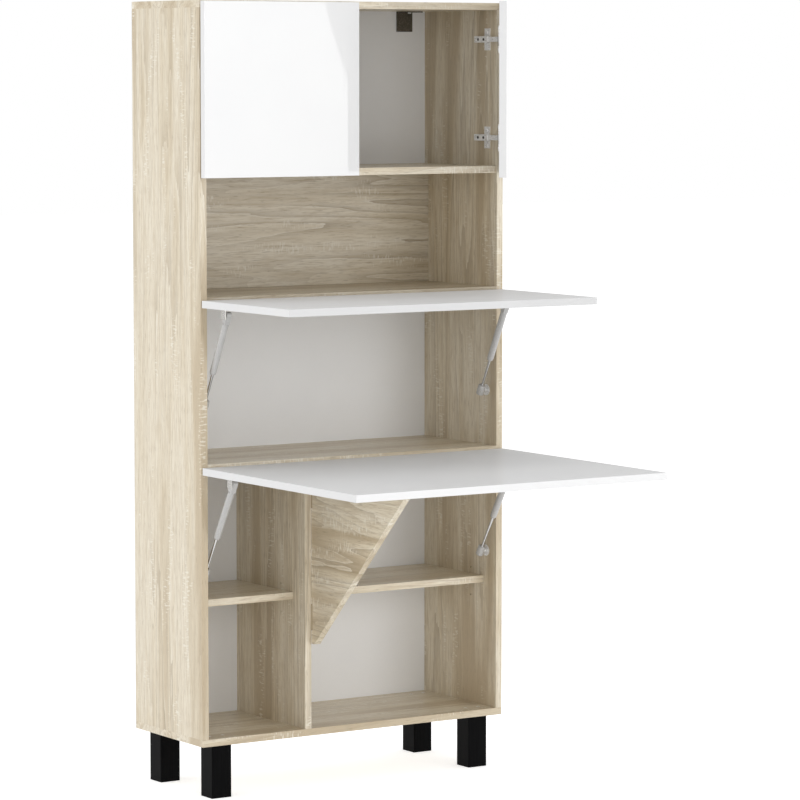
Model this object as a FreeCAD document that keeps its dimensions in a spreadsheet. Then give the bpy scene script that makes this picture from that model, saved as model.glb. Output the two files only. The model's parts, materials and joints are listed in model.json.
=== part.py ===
"""Tall secretary cabinet on four legs, with two doors, two lift-up flaps on gas struts and a desk gusset."""
import FreeCAD, Part
import os
import re
import Sketcher

# Driving dimensions in millimetres
SIZES = {
    # Carcass
    "carcass_width": 800, "carcass_depth": 300, "carcass_height": 1640, "panel": 16,
    "back_thickness": 3, "divider_left": 250, "shelf_recess": 50, "shelf_height": 304,
    "shelf_side_play": 0.5, "shelf_back_play": 2, "desk_height": 740, "flap_pitch": 367,
    "shelf_proud": 6.5, "door_shelf_height": 1254, "door_shelf_recess": 4,
    # Legs
    "leg_height": 120, "leg_width": 50, "leg_side_inset": 32, "leg_front_inset": 14,
    "leg_rear_inset": 6, "leg_chamfer": 1.5, "leg_screw_pitch": 34, "leg_screw_radius": 2.5,
    "leg_screw_length": 45, "leg_screw_head": 4.5, "leg_screw_head_height": 3,
    # Shelf pins
    "pin_radius": 2.5, "pin_front": 104, "pin_rear": 266, "pin_pitch": 32, "pin_embed": 6.5,
    "pin_reach": 8, "pin_hole_play": 0.1, "pin_hole_depth": 7,
    # Doors and flaps
    "leaf_thickness": 16, "leaf_side_gap": 1, "door_gap": 3, "door_top_gap": 2,
    "upper_flap_reach": 366, "desk_flap_reach": 627,
    # Concealed hinges
    "pivot_edge": 8, "pivot_depth": 8.5, "leaf_gap": 3.5, "cup_edge": 20.5, "cup_radius": 17.5,
    "cup_wall": 0.8, "cup_floor_depth": 12.7, "cup_flange_length": 62, "cup_flange_width": 18,
    "cup_flange": 1.2, "cup_play": 0.05, "hinge_pin_radius": 1.5, "hinge_pin_play": 0.05,
    "hub_radius": 2.8, "hub_length": 11.6, "arm_strip": 3, "arm_offset": 12.5, "arm_reach": 78,
    "arm_cover": 5, "arm_cover_width": 14.6, "arm_cover_front": 25, "plate_front": 27,
    "plate_rear": 48, "plate_height": 50, "plate_wing": 2.5, "plate_block_rear": 68,
    "plate_block_width": 11, "plate_screw_pitch": 32, "plate_screw_front": 37.5,
    "screw_radius": 2, "screw_play": 0.1, "screw_head": 4, "screw_head_height": 2.2,
    "screw_depth": 10, "door_hinge_inset": 80, "flap_hinge_inset": 100,
    # Gas struts
    "strut_side": 16, "upper_strut_flap": 63, "desk_strut_flap": 87, "strut_drop": 13,
    "strut_stud_depth": 40, "upper_stud_drop": 234, "desk_stud_drop": 240, "strut_radius": 7.5,
    "strut_length": 122, "strut_head": 22, "strut_head_width": 12, "strut_head_radius": 6.5,
    "rod_radius": 3, "rod_play": 0.1, "rod_overlap": 20, "strut_cap": 4, "socket_radius": 7,
    "socket_neck": 16, "socket_neck_radius": 4.5, "stud_radius": 4, "stud_base_radius": 9,
    "stud_base": 3, "stud_shank": 2.5, "stud_shank_length": 9, "stud_play": 0.1, "stud_gap": 0.3,
    "bracket_sheet": 2, "bracket_length": 30, "bracket_width": 28, "bracket_tab": 18,
    "bracket_tab_gap": 4, "bracket_pin": 3, "bracket_pin_play": 0.05,
    # Desk gusset and its butt hinges
    "gusset_reach": 400, "gusset_height": 395, "gusset_gap": 1, "gusset_rear": 3.5,
    "gusset_side": 1, "gusset_tip": 8, "gusset_nose": 8, "butt_height": 60, "butt_leaf": 1.2,
    "butt_width": 14, "butt_knuckle": 2, "butt_pin": 1, "butt_play": 0.05, "butt_side": 2.3,
    "butt_inset": 60, "butt_slot": 0.3,
    # Wall brackets
    "wall_bracket_width": 44, "wall_bracket_height": 47, "wall_bracket_depth": 47,
    "wall_bracket_sheet": 2.5, "wall_bracket_inset": 58, "wall_hole_radius": 3.25,
    "wall_hole_drop": 28, "wall_hole_pass": 5,
}

# How far the leaves stand open, in degrees
RIGHT_DOOR_OPEN = 55.5
FLAP_OPEN = 90

doc = FreeCAD.newDocument("secretary_cabinet")
sheet = doc.addObject("Spreadsheet::Sheet", "sizes")
for row, (alias, value) in enumerate(SIZES.items(), start=1):
    sheet.set("A%d" % row, alias)
    sheet.set("B%d" % row, str(value))
    sheet.setAlias("B%d" % row, alias)
doc.recompute()

X_AXIS = FreeCAD.Vector(1, 0, 0)
Y_AXIS = FreeCAD.Vector(0, 1, 0)
Z_AXIS = FreeCAD.Vector(0, 0, 1)
STRAIGHT = FreeCAD.Rotation()
ALONG_X = FreeCAD.Rotation(Y_AXIS, 90)
ALONG_Y = FreeCAD.Rotation(X_AXIS, -90)
NODES = []

# Places worked out from the driving dimensions
HALF = "(carcass_width / 2)"
OPEN_GAP = "(leaf_gap + pivot_depth - pivot_edge)"
FRONT = "((desk_flap_reach + %s - carcass_depth - back_thickness) / 2)" % OPEN_GAP
REAR = "(%s + carcass_depth)" % FRONT
INNER = "(%s - panel)" % HALF
FLOOR = "(leg_height + panel)"
TOP = "(leg_height + carcass_height)"
CEILING = "(%s - panel)" % TOP
DIVIDER_LEFT = "(divider_left - %s)" % INNER
DIVIDER_RIGHT = "(%s + panel)" % DIVIDER_LEFT
UPPER_FLAP_TOP = "(desk_height + flap_pitch)"
DESK_SHELF_TOP = "(desk_height + shelf_proud)"
NICHE_FLOOR_TOP = "(%s + shelf_proud)" % UPPER_FLAP_TOP
DOOR_SHELF_LOW = "(leg_height + door_shelf_height)"
SHELF_LOW = "(leg_height + shelf_height)"
PIN_HEIGHT = "(%s - pin_radius)" % SHELF_LOW
PIVOT_Y = "(%s - leaf_gap - pivot_depth)" % FRONT
LEAF_FACE = "pivot_depth"
CUP_CENTRE = "(cup_edge - pivot_edge)"
CARCASS_FRONT = "(leaf_gap + pivot_depth)"


def bound(text):
    """Turns the names of driving dimensions in a formula into references to the sheet."""
    def reference(found):
        name = found.group()
        return "sizes." + name if name in SIZES else name

    return re.sub(r"[a-z]\w*", reference, text)


def place(item, base, rotation=STRAIGHT):
    """Places an item: its rotation is fixed, and its base follows three formulas."""
    item.Placement = FreeCAD.Placement(FreeCAD.Vector(), rotation)
    for axis, text in zip("xyz", base):
        item.setExpression("Placement.Base." + axis, bound(text))
    return item


def box(name, low, size, rotation=STRAIGHT):
    item = doc.addObject("Part::Box", name)
    for side, text in zip(("Length", "Width", "Height"), size):
        item.setExpression(side, bound(text))
    return place(item, low, rotation)


def span_box(name, low, high):
    """Box between two corners given as formulas."""
    return box(name, low, ["(%s) - (%s)" % (end, start) for start, end in zip(low, high)])


def rod(name, base, radius, length, rotation=STRAIGHT):
    item = doc.addObject("Part::Cylinder", name)
    item.setExpression("Radius", bound(radius))
    item.setExpression("Height", bound(length))
    return place(item, base, rotation)


def group(name, items):
    item = doc.addObject("Part::Compound", name)
    item.Links = items
    return item


def fused(name, items):
    item = doc.addObject("Part::MultiFuse", name)
    item.Shapes = items
    return item


def cut(name, base, tools):
    item = doc.addObject("Part::Cut", name)
    item.Base = base
    item.Tool = tools[0] if len(tools) == 1 else group(name + "_tools", tools)
    return item


def node(item, label):
    """Marks an item as a finished sub-part with its own label."""
    item.Label = label
    NODES.append(item)
    return item


def sheet_value(text):
    """Present value of a formula."""
    value = sheet.evalExpression(bound(text))
    return float(getattr(value, "Value", value))


def padded(name, points, length, role, base, rotation=STRAIGHT):
    """Body with one straight-sided sketch, whose corners follow formulas, padded to a length."""
    body = doc.addObject("PartDesign::Body", name)
    sketch = body.newObject("Sketcher::SketchObject", name + "_outline")
    plane = [item for item in body.Origin.OriginFeatures if item.Role == role][0]
    sketch.AttachmentSupport = [(plane, "")]
    sketch.MapMode = "FlatFace"
    corners = [[sheet_value(text) for text in point] for point in points]
    count = len(corners)
    for index, corner in enumerate(corners):
        following = corners[(index + 1) % count]
        sketch.addGeometry(Part.LineSegment(FreeCAD.Vector(*corner, 0), FreeCAD.Vector(*following, 0)))
    for index in range(count):
        sketch.addConstraint(Sketcher.Constraint("Coincident", index, 2, (index + 1) % count, 1))
    for index, (point, corner) in enumerate(zip(points, corners)):
        for kind, text, value in zip(("DistanceX", "DistanceY"), point, corner):
            made = sketch.addConstraint(Sketcher.Constraint(kind, index, 1, value))
            sketch.setExpression("Constraints[%d]" % made, bound(text))
    pad = body.newObject("PartDesign::Pad", name + "_pad")
    pad.Profile = sketch
    pad.setExpression("Length", bound(length))
    return place(body, base, rotation), pad


def pin_row(name, face, sign, radius, length, heights):
    """Short cylinders along X at the front and rear shelf-pin columns, starting on a panel's face."""
    items = []
    for depth in ("pin_front", "pin_rear"):
        for height in heights:
            start = face if sign > 0 else "%s - (%s)" % (face, length)
            base = (start, "%s + %s" % (FRONT, depth), height)
            items.append(rod("%s_%d" % (name, len(items)), base, radius, length, ALONG_X))
    return items


def pin_holes(name, face, sign):
    heights = [PIN_HEIGHT + shift for shift in (" - pin_pitch", "", " + pin_pitch")]
    return pin_row(name, face, sign, "pin_radius + pin_hole_play", "pin_hole_depth", heights)


# Concealed hinges: a local frame with the pin on Z, X to the leaf's free edge and Y to the cabinet's rear
def hinge_cup(name, shift):
    """Round cup with a flange, and the pin that crosses it."""
    base_y = LEAF_FACE + " - cup_floor_depth"
    outer = "cup_radius - cup_play"
    shell = rod(name + "_shell", (CUP_CENTRE, base_y, shift), outer, "cup_floor_depth", ALONG_Y)
    flange_low = (CUP_CENTRE + " - cup_flange_width / 2", LEAF_FACE, shift + " - cup_flange_length / 2")
    flange = box(name + "_flange", flange_low, ("cup_flange_width", "cup_flange", "cup_flange_length"))
    rim = rod(name + "_rim", (CUP_CENTRE, LEAF_FACE, shift), outer, "cup_flange", ALONG_Y)
    hollow = rod(name + "_hollow", (CUP_CENTRE, base_y + " + cup_wall", shift), "cup_radius - cup_wall",
                 "cup_floor_depth + cup_flange", ALONG_Y)
    bowl = cut(name + "_bowl", fused(name + "_blank", [shell, flange, rim]), [hollow])
    chord = "sqrt((cup_radius - cup_wall / 2) ^ 2 - %s ^ 2)" % CUP_CENTRE
    pin = rod(name + "_pin", ("0", "0", "%s - %s" % (shift, chord)), "hinge_pin_radius", "2 * " + chord)
    return fused(name, [bowl, pin])


def hinge_arm(name, shift):
    """Cranked arm with a hub round the pin."""
    low_z = shift + " - hub_length / 2"
    hub = rod(name + "_hub", ("0", "0", low_z), "hub_radius", "hub_length")
    crank = box(name + "_crank", ("0", "-arm_strip / 2", low_z),
                ("arm_offset + arm_strip", "arm_strip", "hub_length"))
    strip_length = CARCASS_FRONT + " + arm_reach + arm_strip / 2"
    strip = box(name + "_strip", ("arm_offset", "-arm_strip / 2", low_z),
                ("arm_strip", strip_length, "hub_length"))
    cover_low = ("arm_offset", CARCASS_FRONT + " + arm_cover_front", shift + " - arm_cover_width / 2")
    cover = box(name + "_cover", cover_low, ("arm_cover", "arm_reach - arm_cover_front", "arm_cover_width"))
    bore = rod(name + "_bore", ("0", "0", low_z), "hinge_pin_radius + hinge_pin_play", "hub_length")
    return cut(name, fused(name + "_blank", [hub, crank, strip, cover]), [bore])


def hinge_screws(name, shift, mount, radius, length, above):
    """Cylinders on the axes of a mounting plate's two screws, from a height above the wing inwards."""
    items = []
    for sign in ("-", "+"):
        height = "%s %s plate_screw_pitch / 2" % (shift, sign)
        start = "%s + plate_wing + (%s) - (%s)" % (mount, above, length)
        base = (start, CARCASS_FRONT + " + plate_screw_front", height)
        items.append(rod("%s_%d" % (name, len(items)), base, radius, length, ALONG_X))
    return items


def hinge_plate(name, shift, mount):
    """Winged mounting plate with a block under the arm."""
    wing_low = (mount, CARCASS_FRONT + " + plate_front", shift + " - plate_height / 2")
    wing = box(name + "_wing", wing_low, ("plate_wing", "plate_rear - plate_front", "plate_height"))
    block_low = (mount, CARCASS_FRONT + " + plate_front", shift + " - plate_block_width / 2")
    block = box(name + "_block", block_low,
                ("arm_offset - (%s)" % mount, "plate_block_rear - plate_front", "plate_block_width"))
    holes = hinge_screws(name + "_hole", shift, mount, "screw_radius + screw_play", "plate_wing", "0")
    return cut(name, fused(name + "_blank", [wing, block]), holes)


def hinged_leaf(label, reach, length, hinge_inset, mount, base, side_turn, open_angle):
    """A door or flap with its two hinges. Returns its plates, its screws and the holes that they need."""
    leaf_turn = side_turn * FreeCAD.Rotation(Z_AXIS, -open_angle)
    shifts = ["(%s((%s) / 2 - %s))" % (sign, length, hinge_inset) for sign in ("-", "")]
    names = ["%s_hinge_%d" % (label, index) for index in range(len(shifts))]
    board = box(label + "_board", ("-pivot_edge", LEAF_FACE + " - leaf_thickness", "-(%s) / 2" % length),
                (reach, "leaf_thickness", length))
    pockets = [rod(name + "_pocket", (CUP_CENTRE, LEAF_FACE + " - cup_floor_depth", shift), "cup_radius",
                   "cup_floor_depth", ALONG_Y) for name, shift in zip(names, shifts)]
    node(place(cut(label + "_panel", board, pockets), base, leaf_turn), label)
    cups = [hinge_cup(name + "_cup", shift) for name, shift in zip(names, shifts)]
    node(place(group(label + "_cups", cups), base, leaf_turn), label + "_hinge_cups")
    arms = [hinge_arm(name + "_arm", shift) for name, shift in zip(names, shifts)]
    node(place(group(label + "_arms", arms), base, side_turn), label + "_hinge_arms")
    plates = [hinge_plate(name + "_plate", shift, mount) for name, shift in zip(names, shifts)]
    screws = []
    holes = []
    for name, shift in zip(names, shifts):
        shanks = hinge_screws(name + "_shank", shift, mount, "screw_radius", "plate_wing + screw_depth", "0")
        heads = hinge_screws(name + "_head", shift, mount, "screw_head", "screw_head_height",
                             "screw_head_height")
        for index, pair in enumerate(zip(shanks, heads)):
            screws.append(fused("%s_screw_%d" % (name, index), pair))
        holes += hinge_screws(name + "_bore", shift, mount, "screw_radius + screw_play",
                              "plate_wing + screw_depth + screw_play", "0")
    return [place(group("%s_%s" % (label, kind), items), base, side_turn)
            for kind, items in (("plates", plates), ("screws", screws), ("holes", holes))]


DOOR_LOW = DOOR_SHELF_LOW
DOOR_LENGTH = "(%s - door_top_gap - %s)" % (TOP, DOOR_LOW)
DOOR_MIDDLE = "((%s - door_top_gap + %s) / 2)" % (TOP, DOOR_LOW)
DOOR_REACH = "((carcass_width - 2 * leaf_side_gap - door_gap) / 2)"
DOOR_PIVOT = "(%s - leaf_side_gap - pivot_edge)" % HALF
DOOR_MOUNT = "(%s - %s)" % (DOOR_PIVOT, INNER)
FLAP_LENGTH = "(carcass_width - 2 * leaf_side_gap)"
FLAP_PIVOT_DROP = "(leaf_thickness - pivot_depth)"
FLAP_MOUNT = "(panel - shelf_proud - %s)" % FLAP_PIVOT_DROP
LEFT_TURN = STRAIGHT
RIGHT_TURN = FreeCAD.Rotation(Y_AXIS, 180)
FLAP_TURN = FreeCAD.Rotation(Y_AXIS, 90)

left_door = hinged_leaf("left_door", DOOR_REACH, DOOR_LENGTH, "door_hinge_inset", DOOR_MOUNT,
                        ("-" + DOOR_PIVOT, PIVOT_Y, DOOR_MIDDLE), LEFT_TURN, 0)
right_door = hinged_leaf("right_door", DOOR_REACH, DOOR_LENGTH, "door_hinge_inset", DOOR_MOUNT,
                         (DOOR_PIVOT, PIVOT_Y, DOOR_MIDDLE), RIGHT_TURN, RIGHT_DOOR_OPEN)
upper_flap = hinged_leaf("upper_flap", "upper_flap_reach", FLAP_LENGTH, "flap_hinge_inset", FLAP_MOUNT,
                         ("0", PIVOT_Y, "%s - %s" % (UPPER_FLAP_TOP, FLAP_PIVOT_DROP)), FLAP_TURN, FLAP_OPEN)
desk_flap = hinged_leaf("desk_flap", "desk_flap_reach", FLAP_LENGTH, "flap_hinge_inset", FLAP_MOUNT,
                        ("0", PIVOT_Y, "desk_height - " + FLAP_PIVOT_DROP), FLAP_TURN, FLAP_OPEN)
leaves = (left_door, right_door, upper_flap, desk_flap)
node(group("hinge_plate_set", [leaf[0] for leaf in leaves]), "hinge_plates")
node(group("hinge_screw_set", [leaf[1] for leaf in leaves]), "hinge_plate_screws")


# Gas struts: a local frame with the side panel's stud at the origin and the flap's pin along Z
STRUT_X = "(%s - strut_side)" % INNER
studs = []
stud_holes = {"left": [], "right": []}


def side_box(name, side, across, along, up):
    """Box on the right of the cabinet, or its mirror image on the left."""
    if side == "left":
        across = ("-" + across[1], "-" + across[0])
    return span_box(name, (across[0], along[0], up[0]), (across[1], along[1], up[1]))


def strut(label, side, flap_top, flap_distance, stud_drop):
    """Cylinder, rod, side stud and flap bracket of one strut."""
    sign = "" if side == "right" else "-"
    pin_y = "(%s - %s)" % (FRONT, flap_distance)
    pin_z = "(%s - leaf_thickness - strut_drop)" % flap_top
    stud_y = "(%s + strut_stud_depth)" % FRONT
    stud_z = "(%s - %s)" % (flap_top, stud_drop)
    rise = "(%s - %s)" % (pin_z, stud_z)
    run = "(%s - %s)" % (stud_y, pin_y)
    reach = "sqrt(%s ^ 2 + %s ^ 2)" % (rise, run)
    base = (sign + STRUT_X, stud_y, stud_z)
    axis = FreeCAD.Vector(0, -sheet_value(run), sheet_value(rise))
    lean = FreeCAD.Rotation(X_AXIS, FreeCAD.Vector(), axis, "ZXY")
    head_low = "(%s - strut_head)" % reach
    body_low = "(%s - strut_length)" % head_low
    width = "strut_head_width"
    tube = rod(label + "_tube", ("0", "0", body_low), "strut_radius", "strut_length")
    neck = box(label + "_neck", ("-%s / 2" % width, "-strut_head_radius", head_low),
               (width, "2 * strut_head_radius", "strut_head"))
    eye = rod(label + "_eye", ("-%s / 2" % width, "0", reach), "strut_head_radius", width, ALONG_X)
    eye_bore = rod(label + "_eye_bore", ("-%s / 2" % width, "0", reach), "bracket_pin + bracket_pin_play",
                   width, ALONG_X)
    bore = rod(label + "_bore", ("0", "0", body_low), "rod_radius + rod_play", "strut_length - strut_cap")
    cylinder = cut(label + "_cylinder_shape", fused(label + "_blank", [tube, neck, eye]), [eye_bore, bore])
    node(place(cylinder, base, lean), label + "_cylinder")

    socket = rod(label + "_socket", ("-%s / 2" % width, "0", "0"), "socket_radius", width, ALONG_X)
    stem = rod(label + "_stem", ("0", "0", "0"), "socket_neck_radius", "socket_neck")
    shaft = rod(label + "_shaft", ("0", "0", "0"), "rod_radius", body_low + " + rod_overlap")
    node(place(fused(label + "_rod_shape", [socket, stem, shaft]), base, lean), label + "_rod")

    outward = ALONG_X if side == "right" else FreeCAD.Rotation(Y_AXIS, -90)
    tip_x = "(%s + %s / 2 + stud_gap)" % (STRUT_X, width)
    post = rod(label + "_post", (sign + tip_x, stud_y, stud_z), "stud_radius", "%s - %s" % (INNER, tip_x),
               outward)
    disc_x = "(%s - stud_base)" % INNER
    disc = rod(label + "_disc", (sign + disc_x, stud_y, stud_z), "stud_base_radius", "stud_base", outward)
    shank = rod(label + "_shank", (sign + disc_x, stud_y, stud_z), "stud_shank",
                "stud_base + stud_shank_length", outward)
    studs.append(fused(label + "_stud", [post, disc, shank]))
    stud_holes[side].append(rod(label + "_stud_hole", (sign + INNER, stud_y, stud_z),
                                "stud_shank + stud_play", "stud_shank_length + stud_play", outward))

    outer = "(%s - bracket_tab_gap)" % INNER
    inner = "(%s - bracket_sheet)" % outer
    under = "(%s - leaf_thickness)" % flap_top
    plate = side_box(label + "_plate", side, ("(%s - bracket_width)" % outer, outer),
                     (pin_y + " - bracket_length / 2", pin_y + " + bracket_length / 2"),
                     (under + " - bracket_sheet", under))
    tab = side_box(label + "_tab", side, (inner, outer),
                   (pin_y + " - bracket_tab / 2", pin_y + " + bracket_tab / 2"),
                   (pin_z + " - bracket_tab / 2", under))
    inward_start = "(%s - %s / 2)" % (STRUT_X, width)
    pin = rod(label + "_pin", (sign + inward_start, pin_y, pin_z), "bracket_pin",
              "%s - %s" % (outer, inward_start), outward)
    node(fused(label + "_bracket_shape", [plate, tab, pin]), label + "_bracket")


for side in ("left", "right"):
    strut("upper_%s_strut" % side, side, UPPER_FLAP_TOP, "upper_strut_flap", "upper_stud_drop")
    strut("desk_%s_strut" % side, side, "desk_height", "desk_strut_flap", "desk_stud_drop")
node(group("stud_set", studs), "strut_studs")

# Carcass panels
left_board = span_box("left_board", ("-" + HALF, FRONT, FLOOR), ("-" + INNER, REAR, CEILING))
left_holes = pin_holes("left_pin_hole", "-" + INNER, -1) + stud_holes["left"] + [left_door[2]]
node(cut("left_side_shape", left_board, left_holes), "left_side")
right_board = span_box("right_board", (INNER, FRONT, FLOOR), (HALF, REAR, CEILING))
right_holes = pin_holes("right_pin_hole", INNER, 1) + stud_holes["right"] + [right_door[2]]
node(cut("right_side_shape", right_board, right_holes), "right_side")

BRACKET_X = "(%s - wall_bracket_inset)" % INNER
ceiling_holes = []
wall_holes = []
ceiling_screws = []
for side, sign in (("left", "-"), ("right", "")):
    centre = sign + BRACKET_X
    screw_y = "(%s - wall_bracket_depth / 2)" % REAR
    screw_z = "(%s - wall_bracket_sheet)" % CEILING
    hole_z = "(%s - wall_hole_drop)" % CEILING
    profile = [("0", "0"), ("-wall_bracket_depth", "0"), ("-wall_bracket_depth", "-wall_bracket_sheet"),
               ("-wall_bracket_sheet", "-wall_bracket_sheet"),
               ("-wall_bracket_sheet", "-wall_bracket_height"), ("0", "-wall_bracket_height")]
    angle = padded("wall_bracket_%s_body" % side, profile, "wall_bracket_width", "YZ_Plane",
                   (centre + " - wall_bracket_width / 2", REAR, CEILING))[0]
    through = rod("wall_hole_" + side, (centre, REAR + " - wall_bracket_sheet", hole_z), "wall_hole_radius",
                  "wall_bracket_sheet", ALONG_Y)
    screw_hole = rod("ceiling_pass_" + side, (centre, screw_y, screw_z), "screw_radius + screw_play",
                     "wall_bracket_sheet")
    node(cut("wall_bracket_%s_shape" % side, angle, [through, screw_hole]), "wall_bracket_" + side)
    wall_holes.append(rod("wall_pass_" + side, (centre, REAR, hole_z), "wall_hole_pass", "back_thickness",
                          ALONG_Y))
    ceiling_holes.append(rod("ceiling_hole_" + side, (centre, screw_y, CEILING), "screw_radius + screw_play",
                             "screw_depth + screw_play"))
    shank = rod("ceiling_shank_" + side, (centre, screw_y, screw_z), "screw_radius",
                "wall_bracket_sheet + screw_depth")
    head = rod("ceiling_head_" + side, (centre, screw_y, screw_z + " - screw_head_height"), "screw_head",
               "screw_head_height")
    ceiling_screws.append(fused("ceiling_screw_" + side, [shank, head]))
node(group("ceiling_screw_set", ceiling_screws), "wall_bracket_screws")

top_board = span_box("top_board", ("-" + HALF, FRONT, CEILING), (HALF, REAR, TOP))
node(cut("top_shape", top_board, ceiling_holes), "top_panel")
back_board = span_box("back_board", ("-" + HALF, REAR, "leg_height"),
                      (HALF, REAR + " + back_thickness", TOP))
node(cut("back_shape", back_board, wall_holes), "back_panel")
node(span_box("niche_back_board", ("-" + INNER, REAR + " - panel", NICHE_FLOOR_TOP),
              (INNER, REAR, DOOR_SHELF_LOW)), "niche_back")
node(span_box("door_shelf_board", ("-" + INNER, FRONT + " + door_shelf_recess", DOOR_SHELF_LOW),
              (INNER, REAR, DOOR_SHELF_LOW + " + panel")), "door_shelf")
for label, top, leaf in (("niche_floor", NICHE_FLOOR_TOP, upper_flap),
                         ("desk_shelf", DESK_SHELF_TOP, desk_flap)):
    board = span_box(label + "_board", ("-" + INNER, FRONT, top + " - panel"), (INNER, REAR, top))
    node(cut(label + "_shape", board, [leaf[2]]), label)
divider_board = span_box("divider_board", (DIVIDER_LEFT, FRONT, FLOOR),
                         (DIVIDER_RIGHT, REAR, DESK_SHELF_TOP + " - panel"))
divider_holes = pin_holes("divider_left_hole", DIVIDER_LEFT, 1)
divider_holes += pin_holes("divider_right_hole", DIVIDER_RIGHT, -1)
node(cut("divider_shape", divider_board, divider_holes), "divider")
for label, low, high in (("left_shelf", "-" + INNER, DIVIDER_LEFT), ("right_shelf", DIVIDER_RIGHT, INNER)):
    node(span_box(label + "_board", (low + " + shelf_side_play", FRONT + " + shelf_recess", SHELF_LOW),
                  (high + " - shelf_side_play", REAR + " - shelf_back_play", SHELF_LOW + " + panel")), label)
pins = []
for name, face, into in (("left", "-" + INNER, -1), ("divider_left", DIVIDER_LEFT, 1),
                         ("divider_right", DIVIDER_RIGHT, -1), ("right", INNER, 1)):
    start = "(%s %s)" % (face, "- pin_reach" if into > 0 else "+ pin_reach")
    pins += pin_row(name + "_pin", start, into, "pin_radius", "pin_reach + pin_embed", [PIN_HEIGHT])
node(group("pin_set", pins), "shelf_pins")

# Legs, screwed on from above through the bottom panel
leg_screws = []
floor_holes = []
LEG_X = "(%s - leg_side_inset - leg_width / 2)" % HALF
LEG_FRONT = "(%s + leg_front_inset + leg_width / 2)" % FRONT
LEG_REAR = "(%s - leg_rear_inset - leg_width / 2)" % REAR
for row, leg_y in (("front", LEG_FRONT), ("rear", LEG_REAR)):
    for side, sign in (("left", "-"), ("right", "")):
        name = "leg_%s_%s" % (row, side)
        edge = "leg_width / 2"
        outline = [("-" + edge, "-" + edge), (edge, "-" + edge), (edge, edge), ("-" + edge, edge)]
        body, pad = padded(name + "_body", outline, "leg_height", "XY_Plane", (sign + LEG_X, leg_y, "0"))
        doc.recompute()
        uprights = ["Edge%d" % index for index, line in enumerate(pad.Shape.Edges, start=1)
                    if line.tangentAt(line.FirstParameter).cross(Z_AXIS).Length < 1e-6]
        bevel = body.newObject("PartDesign::Chamfer", name + "_bevel")
        bevel.Base = (pad, uprights)
        bevel.setExpression("Size", bound("leg_chamfer"))
        bores = []
        for index, shift in enumerate(("- leg_screw_pitch / 2", "+ leg_screw_pitch / 2")):
            tag = "%s_%d" % (name, index)
            screw_x = "%s%s %s" % (sign, LEG_X, shift)
            start = FLOOR + " - leg_screw_length"
            shank = rod(tag + "_shank", (screw_x, leg_y, start), "leg_screw_radius", "leg_screw_length")
            head = rod(tag + "_head", (screw_x, leg_y, FLOOR + " - leg_screw_head_height"), "leg_screw_head",
                       "leg_screw_head_height")
            leg_screws.append(fused(tag + "_screw", [shank, head]))
            wide = "leg_screw_radius + screw_play"
            bores.append(rod(tag + "_bore", (screw_x, leg_y, start), wide, "leg_screw_length - panel"))
            passage = rod(tag + "_passage", (screw_x, leg_y, "leg_height"), wide, "panel")
            sink = rod(tag + "_sink", (screw_x, leg_y, FLOOR + " - leg_screw_head_height"),
                       "leg_screw_head + screw_play", "leg_screw_head_height")
            floor_holes.append(fused(tag + "_floor_hole", [passage, sink]))
        node(cut(name + "_shape", body, bores), name)
node(group("leg_screw_set", leg_screws), "leg_screws")
floor_board = span_box("floor_board", ("-" + HALF, FRONT, "leg_height"), (HALF, REAR, FLOOR))
node(cut("floor_shape", floor_board, floor_holes), "bottom_panel")

# Desk gusset: a triangle with blunt corners, hinged to the divider's front corner
GUSSET_TOP = "(desk_height - leaf_thickness - gusset_gap)"
GUSSET_REAR = "(%s - gusset_rear)" % FRONT
GUSSET_LEFT = "(%s + gusset_side)" % DIVIDER_RIGHT
triangle = [("0", "0"), ("0", "-gusset_height"), ("-gusset_tip", "-gusset_height"),
            ("-gusset_reach", "-gusset_nose"), ("-gusset_reach", "0")]
gusset = padded("gusset_body", triangle, "panel", "YZ_Plane", (GUSSET_LEFT, GUSSET_REAR, GUSSET_TOP))
node(gusset[0], "gusset")

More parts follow.
